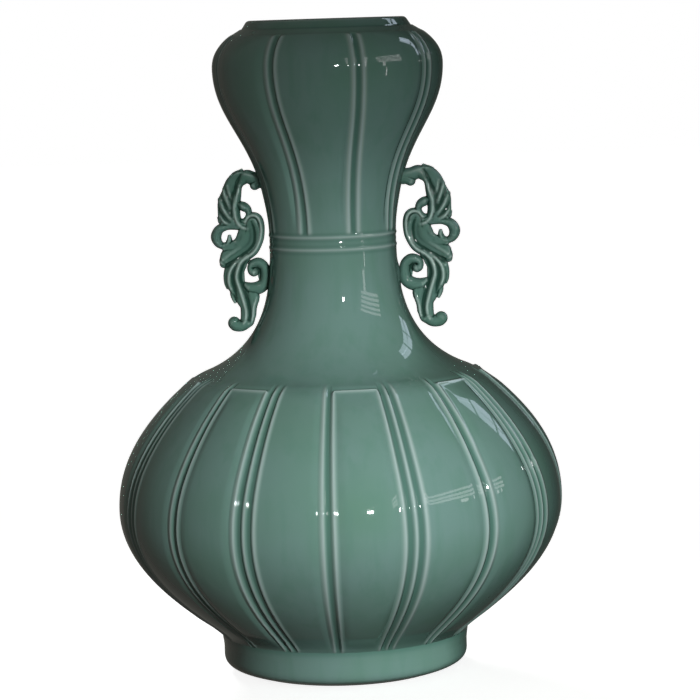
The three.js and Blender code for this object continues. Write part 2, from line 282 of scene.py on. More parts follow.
def line_shape(columns):
    """The beads and grooves of the carved lines, one number per column. Edge beads of squared panels are
    left out, because they turn the panel's corner with the panel's own outline."""
    beads, grooves = np.zeros(columns.count), np.zeros(columns.count)
    s = columns.offset
    for i, entry in enumerate(columns.lines):
        half = entry["half_width"]
        here = (columns.base == i) & columns.near_line
        wide = half > LINE_PITCH * 0.75
        for groove in (-half / 2, half / 2) if wide else (0.0,):
            grooves[here] += np.exp(-(((s - groove) / GROOVE_HALF_WIDTH) ** 4))[here]
        if wide:
            beads[here] += bump(s, BEAD_WIDTH)[here]
        if entry["squared"] != "before":
            beads[here] += bead(-half - s, BEAD_SHOULDER)[here]
        if entry["squared"] != "after":
            beads[here] += bead(s - half, BEAD_SHOULDER)[here]
    return np.clip(beads, 0, 1), np.clip(grooves, 0, 1)


def side_distance(columns):
    """How far inside a squared panel's side edge each column stands, negative outside, in millimetres."""
    far = 50.0
    distance = np.full(columns.count, -far)
    for i, entry in enumerate(columns.lines):
        here = (columns.base == i) & columns.near_line
        sign = 1 if entry["squared"] == "after" else -1
        distance[here] = (sign * columns.offset - entry["half_width"])[here]
        if entry["squared"] == "after":
            distance[(columns.base == i) & ~columns.near_line] = far
    return distance


def past_panel_top(height):
    """How far past the panels' top edge a height lies, measured along the surface, in millimetres."""
    rise = height[:, None] - PANEL_TOP
    slope = np.where(rise < 0, BELLY_TOP_SLOPE, SHOULDER_SLOPE)
    return rise / np.sin(np.radians(slope))


def panel_distance(columns, height):
    """How far inside a squared panel's rounded outline each point is: rows by columns, in millimetres."""
    side = side_distance(columns)[None, :]
    below_edge = -past_panel_top(height)
    r = CORNER_ROUNDING
    corner = r - np.hypot(r - side, r - below_edge)
    return np.where((side < r) & (below_edge < r), corner, np.minimum(side, below_edge))


def belly_carving(radius, height):
    """Relief, thin and pooled glaze of the belly and shoulder: rows by columns. The pool share also holds
    painted shade at the foot's crease.
    """
    columns = belly_columns
    z = height[:, None]
    beads, grooves = line_shape(columns)
    inside = panel_distance(columns, height)
    share = columns.share_of_panel(radius)
    arch = 1 - (2 * share - 1) ** 2
    from_foot = smooth(FOOT_TOP - 1.5, FOOT_TOP + 2.5, z)
    from_settled_foot = smooth(FOOT_TOP, FOOT_TOP + SETTLING, z)
    depth = smooth(PANEL_TOP + 3.4, PANEL_TOP - 1.0, z) * from_foot
    edge = bead(inside, BEAD_SHOULDER) * from_foot
    raised = smooth(-1.2, 0.2, inside) * smooth(FOOT_TOP - 2, FOOT_TOP + 8, z)
    squared = smooth(0, 18, inside) * from_settled_foot
    plain_side = smooth(0.2, -3.0, side_distance(columns)[None, :])
    plain = plain_side * smooth(PANEL_TOP + 6, PANEL_TOP - SETTLING, z) * from_settled_foot
    relief = BEAD_HEIGHT * (beads * depth + edge) - GROOVE_DEPTH * grooves * depth
    relief = relief + SQUARED_RISE * raised + arch * (SQUARED_CROWN * squared + PLAIN_CROWN * plain)
    above_edge = bump(inside + 2.4, 1.2) * smooth(-0.5, 1.0, z - PANEL_TOP)
    kink = math.radians(SHOULDER_SLOPE - BELLY_TOP_SLOPE)
    nearness = np.clip(1 - np.abs(past_panel_top(height)) / WORN_REACH, 0, 1)
    worn = nearness**2 * WORN_REACH * kink / 4
    relief = relief - EDGE_HOLLOW * above_edge - worn * (1 - 0.75 * smooth(-1.5, 0.5, inside))
    # The crease at the foot's top is dark with pooled glaze and with painted shade from the belly's overhang.
    crease = bump(z - FOOT_TOP, 1.6)
    thin = np.clip(beads * depth + edge, 0, 1)
    pool = np.clip(grooves * depth + 0.3 * above_edge + 0.55 * crease, 0, 1)
    return relief, thin, pool


def lobe_carving(radius, height):
    """Relief, thin and pooled glaze of the waist and bulb: rows by columns."""
    z = height[:, None]
    beads, grooves = line_shape(lobe_columns)
    share = lobe_columns.share_of_panel(radius)
    arch = 1 - (2 * share - 1) ** 2
    depth = smooth(BAND_TOP + 0.4, BAND_TOP + 3.2, z) * smooth(COLLAR + 0.2, COLLAR - 1.6, z)
    swell = smooth(BAND_TOP, BAND_TOP + 25, z) * smooth(COLLAR + 2, COLLAR - 14, z)
    relief = (BEAD_HEIGHT * beads - 0.85 * GROOVE_DEPTH * grooves) * depth + LOBE_CROWN * arch * swell
    ring, ring_thin, ring_pool = band_carving(radius, height)
    return (
        relief + ring,
        np.clip(beads * depth + ring_thin, 0, 1),
        np.clip(grooves * depth + ring_pool, 0, 1),
    )


def band_carving(radius, height):
    """The two fine ridges at the neck band's ends."""
    z = height[:, None]
    ridges = bump(z - (BAND_BOTTOM + 0.5), 0.8) + bump(z - (BAND_TOP - 0.4), 0.8)
    hollows = bump(z - (BAND_BOTTOM + 2.4), 1.2) + bump(z - (BAND_TOP - 2.3), 1.2)
    under = bump(z - (BAND_BOTTOM - 1.5), 1.0) + bump(z - (BAND_TOP + 1.5), 1.0)
    relief = BAND_RIDGE * ridges - BAND_HOLLOW * hollows
    return relief, 0.75 * np.clip(ridges, 0, 1), 0.5 * np.clip(hollows + under, 0, 1)


def neck_carving(radius, height):
    relief, thin, pool = belly_carving(radius, height)
    ring, ring_thin, ring_pool = band_carving(radius, height)
    return relief + ring, np.maximum(thin, ring_thin), np.maximum(pool, ring_pool)


def leaned(azimuth, height):
    """The bulb's lobes lean round a little as they climb."""
    return azimuth + math.radians(LOBE_TWIST_DEG) * smooth(BAND_TOP, BULB_WIDEST, height)


def gathered(azimuth, height):
    """The belly's lines bow a little towards the front halfway up to the shoulder."""
    return azimuth - math.radians(GATHER_DEG) * np.sin(azimuth) * bump(height - GATHER_HEIGHT, GATHER_SPAN)


# ---------------------------------------------------------------- meshes
def make_mesh(name, points, faces, shares, normals=None):
    """A smooth-shaded mesh object from points in millimetres, with float attributes. Normals, where they are
    given, let two sections that meet shade as one surface."""
    mesh = bpy.data.meshes.new(name)
    mesh.vertices.add(len(points))
    mesh.vertices.foreach_set("co", (points * MM).astype(np.float32).ravel())
    mesh.loops.add(faces.size)
    mesh.loops.foreach_set("vertex_index", faces.astype(np.int32).ravel())
    mesh.polygons.add(len(faces))
    sides = faces.shape[1]
    mesh.polygons.foreach_set("loop_start", np.arange(0, faces.size, sides, dtype=np.int32))
    mesh.polygons.foreach_set("use_smooth", np.ones(len(faces), bool))
    mesh.update(calc_edges=True)
    mesh.validate()
    for key, values in shares.items():
        layer = mesh.attributes.new(key, "FLOAT", "POINT")
        layer.data.foreach_set("value", values.astype(np.float32).ravel())
    if normals is None:
        mesh.set_sharp_from_angle(angle=math.radians(40))
    else:
        mesh.normals_split_custom_set_from_vertices(normals.astype(np.float32))
    piece = bpy.data.objects.new(name, mesh)
    bpy.context.scene.collection.objects.link(piece)
    return piece


def sealed(piece):
    """The piece with the points that coincide on its axis merged, so that its middle is closed."""
    work = bmesh.new()
    work.from_mesh(piece.data)
    bmesh.ops.remove_doubles(work, verts=work.verts, dist=1e-7)
    loose = [edge for edge in work.edges if not edge.link_faces]
    bmesh.ops.delete(work, geom=loose, context="EDGES")
    work.to_mesh(piece.data)
    work.free()
    return piece


def torus_faces(rows, columns):
    """Quads of a grid that closes on itself both ways, facing out."""
    i, j = np.meshgrid(np.arange(rows), np.arange(columns), indexing="ij")
    i, j = i.ravel(), j.ravel()
    up, on = (i + 1) % rows, (j + 1) % columns
    return np.stack([i * columns + j, i * columns + on, up * columns + on, up * columns + j], 1)


def on_vase(radius, height, azimuth):
    return np.stack([radius * np.sin(azimuth), -radius * np.cos(azimuth), height * np.ones_like(azimuth)], 2)


def wall_direction(base, normal):
    """The direction the wall stands in: the outline's normal, except that the two sections that meet at the
    panels' top edge share one direction there."""
    between = math.radians((BELLY_TOP_SLOPE + SHOULDER_SLOPE) / 2)
    at_crease = bump(base[:, 1:] - PANEL_TOP, 3.0)
    return (1 - at_crease) * normal + at_crease * np.array([math.sin(between), -math.cos(between)])


def outer_surface(curve, lengths, columns, carving, bend, ahead=0.0):
    """Points of a section's carved outside at lengths along its outline, and their glaze shares. `ahead`
    slides every point along the outline's tangent, which also reaches past the section's end."""
    base, normal = curve.points(lengths)
    base = base + ahead * np.stack([-normal[:, 1], normal[:, 0]], 1)
    full = np.ones((len(base), columns.count))
    relief, thin, pool = (part * full for part in carving(base[:, 0], base[:, 1]))
    way = wall_direction(base, normal)
    radius = base[:, :1] + relief * way[:, :1]
    height = base[:, 1:] + relief * way[:, 1:]
    return on_vase(radius, height, bend(columns.azimuth(base[:, 0]), height)), thin, pool


def surface_normals(behind, points, ahead):
    """Unit normals of a grid of points, from the points just behind and ahead of each along the outline."""
    climb = ahead - behind
    round_about = np.roll(points, -1, 1) - np.roll(points, 1, 1)
    normals = np.cross(round_about, climb)
    return normals / np.linalg.norm(normals, axis=2, keepdims=True)


def skin(name, curve, low, high, columns, carving, fine, bend):
    """One section's closed shell: carved outside, smooth inside, WALL thick."""
    ends = curve.length_at_height(low), curve.length_at_height(high)
    spans = [(curve.length_at_height(a), curve.length_at_height(b)) for a, b in fine]
    lengths = spaced(*ends, ROW_STEP, spans)
    grid = (curve, lengths, columns, carving, bend)
    outside, thin, pool = outer_surface(*grid)
    slide = 0.15
    outward = surface_normals(outer_surface(*grid, -slide)[0], outside, outer_surface(*grid, slide)[0])
    base, normal = curve.points(spaced(*ends, INNER_ROW_STEP)[::-1])
    way = wall_direction(base, normal)
    inner = base - WALL * way
    azimuth = bend(columns.azimuth(base[:, 0]), base[:, 1:])
    lining = on_vase(inner[:, :1], inner[:, 1:], azimuth)
    inward = -on_vase(way[:, :1], way[:, 1:], azimuth)
    blank = np.zeros((len(base), columns.count))
    return make_mesh(
        name,
        np.vstack([outside, lining]).reshape(-1, 3),
        torus_faces(len(lengths) + len(base), columns.count),
        {"thin": np.vstack([thin, blank]), "pool": np.vstack([pool, blank])},
        np.vstack([outward, inward]).reshape(-1, 3),
    )


def rounded(corners, steps=6):
    """A closed outline from (radius, height, rounding) corners, each rounded by that much."""
    corners = [np.array(c, float) for c in corners]
    outline = []
    for i, corner in enumerate(corners):
        before, after = corners[i - 1][:2], corners[(i + 1) % len(corners)][:2]
        at, rounding = corner[:2], corner[2]
        if rounding == 0:
            outline.append(at)
            continue
        a = at + (before - at) / np.linalg.norm(before - at) * rounding
        b = at + (after - at) / np.linalg.norm(after - at) * rounding
        for t in np.linspace(0, 1, steps):
            outline.append((1 - t) ** 2 * a + 2 * (1 - t) * t * at + t**2 * b)
    return np.array(outline)


def turned(name, outline, share_of, facets=360):
    """A solid of revolution from a closed outline, with its glaze shares worked out from the outline."""
    azimuth = np.linspace(0, 2 * math.pi, facets, endpoint=False)[None, :]
    radius, height = outline[:, :1], outline[:, 1:]
    points = on_vase(radius, height, azimuth).reshape(-1, 3)
    shares = {
        key: (values[:, None] * np.ones_like(azimuth)) for key, values in share_of(outline).items()
    }
    return make_mesh(name, points, torus_faces(len(outline), facets), shares)


def foot_ring():
    wall = foot_round.points(np.linspace(0, foot_round.length[-1], 40))[0]
    straight = np.stack(
        [np.full(FOOT_ROWS, FOOT_RADIUS), np.linspace(FOOT_ROUND_TOP, FOOT_TOP, FOOT_ROWS)], 1)
    straight[:, 0] += (FOOT_TOP_RADIUS - FOOT_RADIUS) * smooth(FOOT_FLARE_START, FOOT_TOP, straight[:, 1])
    ledge = bottom_of("base_disc")
    inner = rounded([
        (BASE_LEDGE_RADIUS, FOOT_TOP, 0), (BASE_LEDGE_RADIUS, ledge, 0),
        (FOOT_RING_INNER - 1.6, ledge, 0.5), (FOOT_RING_INNER, 0, 1.0),
    ])
    outline = np.vstack([wall, straight[1:], inner])

    def share_of(outline):
        radius, z = outline.T
        outer = radius > REST_RADIUS - 1
        return {
            "thin": bump(z - 1.2, 1.3) * outer,
            # The ring at the foot's top is dark with pooled glaze and with painted shade from the belly's
            # overhang.
            "pool": 0.95 * bump(z - FOOT_TOP, 2.6) * outer,
            "bare": smooth(0.9, 0.35, z),
        }

    return turned("foot_ring_glazed", outline, share_of)


def base_disc():
    low, high = bottom_of("base_disc"), top_of("base_disc")
    edge = BASE_LEDGE_RADIUS - BASE_GAP
    steps = 14
    under = np.stack([np.linspace(0, edge, steps), np.full(steps, low)], 1)
    under[:, 1] += BASE_DOME * (1 - (under[:, 0] / edge) ** 2)
    over = np.stack([np.linspace(edge, 0, steps), np.full(steps, high)], 1)
    outline = np.vstack([under, over])

    def share_of(outline):
        return {"pool": 0.3 * bump(outline[:, 0] - edge, 6)}

    return sealed(turned("base_disc_glazed", outline, share_of, 180))


def lip_ring():
    crease = COLLAR + CREASE_RISE
    sweep = Sweep((COLLAR_RADIUS, COLLAR), 154, 2, (CREASE_RADIUS, crease), 150, 2)
    collar = sweep.at(np.linspace(0, 1, 14))
    rim = rounded([
        (CREASE_RADIUS - 0.5, crease - 0.15, 0.25), (CREASE_RADIUS - 1.1, crease + 0.5, 0.3),
        (45.9, HEIGHT - 0.2, 1.5), (43.2, HEIGHT + 0.05, 1.1), (41.6, HEIGHT - 2.4, 1.4),
        (44.5, COLLAR - 2.4, 0), (51, COLLAR - 2.4, 0),
    ])
    outline = np.vstack([collar, rim])

    def share_of(outline):
        radius, z = outline.T
        rim = bump(z - HEIGHT, 0.9) * smooth(41, 43, radius)
        groove = bump(np.hypot(radius - CREASE_RADIUS + 0.5, z - crease), 1.0)
        return {"thin": 0.9 * rim, "pool": np.clip(groove, 0, 1)}

    return turned("lip_ring_glazed", outline, share_of)


# ---------------------------------------------------------------- handles
LOWER_JOINT = 40.4
LEFT_REACH = 0.95
LEFT_SHIFT = 1.4
GRID_STEP = 0.33
GRID_LOW = (36.0, -7.5, 196.0)
GRID_HIGH = (77.0, 7.5, 298.0)
ROOT_CUT = 0.66
SCROLL_DEPTH = 5.0
BODY_DEPTH = 4.3
LEAF_DEPTH = 3.5
WEB_DEPTH = 1.4
FLUTE_WIDTH = 1.35
HOLLOW_WIDTH = 3.0
RIB_WIDTH = 1.0
RIB_SHARE = 0.8

# Shapes that make up a handle, as [distance from the vase's axis, height, half-width] knots.
BODIES = {
    "crest": [
        (50, 289, 3), (53.6, 291, 2.6), (56.8, 289.6, 3.6), (59.9, 285.6, 4.6), (61.2, 280.4, 5.6),
        (62.1, 274.5, 6.4), (62.6, 268.7, 6.6), (62.3, 264.8, 5.4), (60.3, 262.4, 2.9),
    ],
    "belly": [
        (48.4, 262.6, 4.2), (48.6, 258.1, 6.2), (50.6, 252.9, 7), (54.5, 248.6, 6), (59.6, 246.2, 4.6),
        (64.4, 243.8, 4.4), (67.2, 240.6, 2.4),
    ],
    "hip": [(54, 259.4, 3), (55, 255.8, 3.2), (57, 251.8, 3.2), (61, 249.6, 3), (65.4, 249.2, 2.8)],
    "heart": [(53, 260.8, 2.4), (57, 261.8, 3), (61, 262, 2.6), (66, 262.6, 2.4)],
    "tail": [(49.4, 221.5, 3.8), (49.4, 217.5, 3.3), (50, 213, 2.5), (50.3, 209, 2.3)],
    "back": [
        (53, 243, 3), (56.2, 240.6, 4.6), (59.5, 236.4, 5.6), (60.4, 231.9, 6), (59.8, 227.3, 5.8),
        (57.1, 222.6, 5), (54.7, 218.6, 5.4), (53, 214.6, 4.9), (52.8, 210.1, 4.8), (53.5, 206, 4.4),
    ],
}
# Thin glaze-filled webs at the bottom of the spirals.
WEBS = {"lower_spiral": [(44.4, 230.6, 1.6), (45, 235, 1.8), (47, 236.6, 1.2)]}
LEAVES = {
    "tip": [(57.6, 290, 3.2), (55.4, 292, 2.3), (54, 293.7, 1)],
    "outer_leaf": [
        (63, 262, 1.5), (66.2, 265.4, 2.8), (67, 271, 2.6), (66.8, 276, 2.4), (65, 281, 1.8), (63.4, 285, 1)],
    "hip_leaf": [(64, 263, 2), (67.4, 264.4, 2.3), (69, 266.2, 1.1)],
    "first_lobe": [(58.4, 286.6, 3), (60, 288.8, 2.2), (60.6, 289.7, 1.4)],
    "second_lobe": [(62, 279.6, 4), (64, 282, 2.4), (64.9, 283.1, 1.4)],
    "third_lobe": [(65, 273, 4), (67, 275.8, 2.4), (68, 276.9, 1.4)],
    "scroll_leaf": [(58, 247, 3), (63.6, 244.4, 4.6), (66.4, 241.2, 3.4), (67.1, 239.2, 2.4)],
    "middle_leaf": [(58, 241, 2), (62.6, 238, 3), (65, 233, 2.4), (65.3, 228, 1.9), (65, 225.4, 1.2)],
    "lower_leaf": [(60, 226, 2.5), (61.6, 222, 2.2), (61.2, 218.6, 1.6), (60.8, 216.8, 1)],
    "barb": [(49, 222, 2.6), (47.4, 219.6, 2), (46.8, 217.2, 1)],
}
SCROLLS = {
    "stem": [
        (37, 288.4, 6.6), (40.5, 288.2, 5), (43, 288, 4.3), (47, 288.6, 4.1), (51, 289.9, 4),
        (54.6, 288, 3.8), (56.6, 284.5, 2.8), (57, 279, 2.3), (57.8, 272.5, 2.3), (58, 267, 2.5),
        (56.7, 263.2, 2.4), (54.2, 260.8, 2.1), (51.4, 259.8, 1.5),
    ],
    "stem_knob": [(40.6, 287.4, 4.4), (44.2, 286.4, 4), (46.2, 284.9, 3.1)],
    "inner_curl": [
        (57, 274, 2), (53.8, 272.6, 2.8), (51.4, 271, 2.5), (50.4, 268.4, 2), (51.4, 265.6, 1.9),
        (53.4, 263.9, 1.9), (55.4, 264, 1.6),
    ],
    "rim": [
        (52.6, 262.9, 1.4), (51.7, 265.2, 1.6), (49.5, 267, 1.8), (46.6, 267.1, 1.9), (44.2, 265.3, 2),
        (43, 262, 1.9), (42.8, 258.3, 1.8), (43.5, 253.8, 1.9), (45.1, 249.8, 1.9), (47.5, 246.2, 2),
        (50.5, 243.8, 2),
    ],
    "outer_scroll": [
        (55, 260.4, 1.9), (59.8, 261, 2), (64.6, 261.1, 2.3), (69, 259.4, 2.9), (71.1, 255.4, 3.3),
        (69.8, 251.6, 2.7), (66.8, 249.7, 2), (64.2, 250.2, 2.3), (63, 252.8, 1.9), (62.9, 255.2, 1.2),
    ],
    "lower_scroll": [
        (53.8, 226, 2.4), (50, 224.7, 3.4), (46, 224.8, 3.9), (42.2, 227.4, 3.7), (41.2, 232, 3.2),
        (42, 236.8, 3), (45.2, 239.4, 3), (48.8, 238.9, 2.7), (50.4, 236.8, 2.2), (49.8, 234.8, 2.6),
        (48.6, 234.1, 2.8),
    ],
    "hook": [(53.5, 204.8, 3.4), (57, 202.9, 3.5), (60.5, 203.2, 3.8), (61.8, 204.3, 3.9)],
}
# Raised ribs and hollow flutes, as [distance from the axis, height, height or depth] knots.
RIBS = {
    "spine": [
        (52.6, 262.9, 0.5), (51.7, 265.2, 0.7), (49.5, 267, 0.8), (46.6, 267.2, 0.8), (44.4, 265.3, 0.8),
        (43.3, 262, 0.8), (43.1, 258.3, 0.8), (43.9, 253.8, 0.8), (45.6, 249.8, 0.8), (48, 246.4, 0.8),
        (51, 244, 0.9), (54, 242, 1), (57, 238.9, 1.1), (58.7, 234.5, 1.1), (59.1, 230.6, 1.1),
        (57.8, 226.1, 1.1), (56.4, 221.6, 1.1), (55, 216.5, 1.1), (53.9, 212, 1), (54.1, 207.5, 0.7),
        (55.5, 204.5, 0.4),
    ],
    "stem": [
        (54.8, 285, 0.2), (56, 281.4, 0.6), (57.7, 277.4, 0.7), (58.8, 273, 0.8), (59, 269.6, 0.8),
        (58.6, 266.3, 0.8), (57, 262.9, 0.8), (54.4, 260.4, 0.7), (51.4, 259.6, 0.3),
    ],
    "belly": [(56.4, 248.8, 0.15), (61.5, 245.7, 0.45), (66, 242.7, 0.5), (68.6, 239.8, 0.2)],
    "middle_leaf": [
        (56.3, 242.4, 0.4), (60.7, 238.7, 0.8), (63.5, 233.7, 0.9), (64, 228.5, 0.8), (62.9, 224.7, 0.4)],
    "first_vein": [(60.6, 277.4, 0.2), (62, 281, 0.5), (62.7, 285, 0.4)],
    "stem_top": [(42.6, 289.6, 0.2), (47, 290.4, 0.4), (51, 291.6, 0.4), (53.4, 291.8, 0.2)],
    "second_vein": [(61.4, 272, 0.3), (63.8, 278, 0.6), (65.4, 282.4, 0.4)],
    "third_vein": [(61.8, 265.5, 0.3), (65.2, 270.5, 0.6), (68, 275.8, 0.4)],
    "fourth_vein": [(62.6, 262.6, 0.3), (66, 264.4, 0.6), (68.6, 267.5, 0.4)],
    "tail": [(46.8, 219.1, 0.3), (48.8, 214.8, 0.6), (49.5, 210.2, 0.7), (49.9, 206.3, 0.5)],
}
FLUTES = {
    "belly": [
        (48.6, 263.6, 0.4), (47.3, 260, 0.6), (46.9, 255.6, 0.7), (47.8, 251, 0.7), (50.8, 247.4, 0.7),
        (55, 244.5, 0.9), (58.8, 241.4, 0.9), (62.6, 238.9, 0.9), (66.4, 237, 0.6),
    ],
    "back": [
        (50.2, 241.8, 0.5), (53.6, 239.9, 0.9), (55.9, 235.2, 1.1), (56.4, 230.7, 1.2), (55.2, 226.2, 1.2),
        (53.6, 221.1, 1.2), (52.2, 215.9, 1.2), (51.6, 210.1, 1.2), (52.2, 206.2, 0.9),
    ],
    "middle": [(58.8, 239, 0.5), (61.1, 234.4, 1), (61.4, 229.2, 1.1), (60.3, 224.1, 1), (59.6, 219.5, 0.7)],
    "crest": [
        (54.2, 291.4, 0.4), (55.6, 288, 0.8), (57.6, 283.6, 1), (59.8, 279.4, 1), (60.9, 275, 0.9),
        (61, 270.5, 0.8), (60.6, 266, 0.2),
    ],
    "first_gap": [(61.6, 275, 0.4), (63.4, 280.6, 0.7), (64.4, 284.4, 0.4)],
    "second_gap": [(61.8, 268.4, 0.5), (64.6, 274, 0.9), (66.9, 279.4, 0.6)],
    "third_gap": [(62.5, 263.9, 0.5), (66, 267.4, 0.9), (68.8, 271.6, 0.6)],
    "stem": [(55.6, 276, 0.3), (56.2, 272, 0.6), (56.2, 267.6, 0.6), (55.4, 264.6, 0.3)],
}
# Broad hollows that fall away gently from the spine.
HOLLOWS = {
    "belly": [
        (50.6, 262.4, 0.4), (49.4, 259, 1), (49, 255.4, 1.3), (50.2, 251.4, 1.3), (53.6, 248, 1),
        (58, 245.8, 0.6), (62.6, 243.6, 0.3),
    ],
    "hip": [(55.5, 258.2, 0.4), (56.6, 254.6, 0.8), (59, 251.8, 0.6)],
}


def curve_through(knots, per_span=14):
    """A Catmull-Rom curve through the knots: centres and the third value along it."""
    p = np.array(knots, float)
    p = np.vstack([2 * p[0] - p[1], p, 2 * p[-1] - p[-2]])
    t = np.linspace(0, 1, per_span, endpoint=False)[:, None]
    spans = [
        0.5 * (2 * b + (c - a) * t + (2 * a - 5 * b + 4 * c - d) * t**2 + (3 * b - a - 3 * c + d) * t**3)
        for a, b, c, d in zip(p, p[1:], p[2:], p[3:])
    ]
    path = np.vstack([*spans, p[-2:-1]])
    return path[:, :2], path[:, 2]


def nearest(knots, x, z):
    """Each grid point's distance to the curve through the knots, and the curve's third value there."""
    path, values = curve_through(knots)
    best, value = np.full(x.shape, 1e9), np.zeros(x.shape)
    for i in range(len(path) - 1):
        a, d = path[i], path[i + 1] - path[i]
        t = np.clip(((x - a[0]) * d[0] + (z - a[1]) * d[1]) / (d @ d), 0, 1)
        distance = np.hypot(x - a[0] - t * d[0], z - a[1] - t * d[1])
        closer = distance < best
        best = np.where(closer, distance, best)
        value = np.where(closer, values[i] * (1 - t) + values[i + 1] * t, value)
    return best, value


def soft_max(a, b, blend):
    """The larger of two fields, rounded over where they are within `blend` of each other."""
    h = np.clip(0.5 + 0.5 * (a - b) / blend, 0, 1)
    return b * (1 - h) + a * h + blend * h * (1 - h)


def thickness_field(x, z):
    """Signed squared half-thickness of the handle over its plane, positive inside the outline."""
    field = np.full(x.shape, -40.0)
    layers = (
        (WEBS, WEB_DEPTH, 1.0),
        (BODIES, BODY_DEPTH, 3.0),
        (LEAVES, LEAF_DEPTH, 2.0),
        (SCROLLS, SCROLL_DEPTH, 1.8),
    )
    for shapes, depth, blend in layers:
        for knots in shapes.values():
            distance, width = nearest(knots, x, z)
            width = np.maximum(width, 0.3)
            deep = depth * np.clip(width / 3.0, 0.3, 1) ** 0.6
            fall = 1 - (distance / width) ** (4 if shapes is BODIES else 2)
            slope = 2 * (width - distance) / width
            field = soft_max(field, deep**2 * np.where(fall > 0, fall, slope), blend)
    return field


def relief_field(x, z):
    """The ribs and flutes, in millimetres, and where the glaze runs thin on ribs and pools in flutes."""
    relief, thin, pool = np.zeros_like(x), np.zeros_like(x), np.zeros_like(x)
    for knots in HOLLOWS.values():
        distance, depth = nearest(knots, x, z)
        relief -= depth * bump(distance, HOLLOW_WIDTH)
        pool = np.maximum(pool, 0.3 * depth * bump(distance, 2.4))
    for knots in FLUTES.values():
        distance, depth = nearest(knots, x, z)
        relief -= depth * bump(distance, FLUTE_WIDTH)
        pool = np.maximum(pool, depth * bump(distance, 1.2))
    for knots in RIBS.values():
        distance, rise = nearest(knots, x, z)
        relief += RIB_SHARE * rise * bump(distance, RIB_WIDTH)
        thin = np.maximum(thin, rise * bump(distance, 0.85))
    return relief, thin, pool


def surface_net(field, low, step):
    """A closed quad mesh round the positive part of a sampled field."""
    inside = field > 0
    cells = np.array(field.shape) - 1
    offsets = [(a, b, c) for a in (0, 1) for b in (0, 1) for c in (0, 1)]

    def shifted(array, offset):
        return array[tuple(slice(o, o + n) for o, n in zip(offset, cells))]

    corners = {o: shifted(field, o) for o in offsets}
    count = sum(shifted(inside, o).astype(np.int8) for o in offsets)
    mixed = (count > 0) & (count < 8)
    total, number = np.zeros((*cells, 3)), np.zeros(cells)
    for a in offsets:
        for axis in range(3):
            if a[axis]:
                continue
            b = tuple(1 if k == axis else v for k, v in enumerate(a))
            fa, fb = corners[a], corners[b]
            cut = (fa > 0) != (fb > 0)
            t = np.where(cut, fa / np.where(cut, fa - fb, 1), 0)
            for k in range(3):
                total[..., k] += cut * (a[k] + (t if k == axis else 0))
            number += cut
    index = np.full(cells, -1)
    index[mixed] = np.arange(mixed.sum())
    where = np.argwhere(mixed)
    points = (where + total[mixed] / number[mixed][:, None]) * step + low
    faces = []
    for axis in range(3):
        others = [k for k in range(3) if k != axis]
        here = inside[tuple(slice(0, -1) if k == axis else slice(1, -1) for k in range(3))]
        there = inside[tuple(slice(1, None) if k == axis else slice(1, -1) for k in range(3))]
        change = np.argwhere(here != there)
        leaving = here[tuple(change.T)]
        base = change.copy()
        base[:, others] += 1
        ring = []
        for p, q in ((0, 0), (1, 0), (1, 1), (0, 1)):
            cell = base.copy()
            cell[:, others[0]] -= p
            cell[:, others[1]] -= q
            ring.append(index[tuple(cell.T)])
        quad = np.stack(ring, 1)
        flip = leaving if axis != 1 else ~leaving
        quad[~flip] = quad[~flip][:, ::-1]
        faces.append(quad)
    return points, np.vstack(faces)


def relaxed(points, faces, rounds):
    """Vertices eased towards their neighbours' mean, and back out, so that the surface keeps its size."""
    ends = np.vstack([faces[:, [k, (k + 1) % 4]] for k in range(4)])
    degree = np.bincount(ends[:, 0], minlength=len(points)) + np.bincount(ends[:, 1], minlength=len(points))
    for amount in (0.5, -0.52) * rounds:
        total = np.zeros_like(points)
        for axis in range(3):
            total[:, axis] = np.bincount(ends[:, 0], points[ends[:, 1], axis], len(points))
            total[:, axis] += np.bincount(ends[:, 1], points[ends[:, 0], axis], len(points))
        points = points + amount * (total / degree[:, None] - points)
    return points


def vertex_normals(points, faces):
    a, b, c, d = (points[faces[:, k]] for k in range(4))
    face_normal = np.cross(c - a, d - b)
    normals = np.zeros_like(points)
    for k in range(4):
        for axis in range(3):
            normals[:, axis] += np.bincount(faces[:, k], face_normal[:, axis], len(points))
    return normals / np.linalg.norm(normals, axis=1)[:, None]


def curvature(points, faces, spread=3):
    """How convex each vertex is, in 1/mm, averaged over a small neighbourhood."""
    normals = vertex_normals(points, faces)
    ends = np.vstack([faces[:, [k, (k + 1) % 4]] for k in range(4)])
    ends = np.vstack([ends, ends[:, ::-1]])
    along = points[ends[:, 1]] - points[ends[:, 0]]
    turn = normals[ends[:, 1]] - normals[ends[:, 0]]
    bend = (along * turn).sum(1) / np.maximum((along**2).sum(1), 1e-9)
    degree = np.bincount(ends[:, 0], minlength=len(points))
    mean = np.bincount(ends[:, 0], bend, len(points)) / degree
    for _ in range(spread):
        mean = 0.5 * mean + 0.5 * np.bincount(ends[:, 0], mean[ends[:, 1]], len(points)) / degree
    return mean


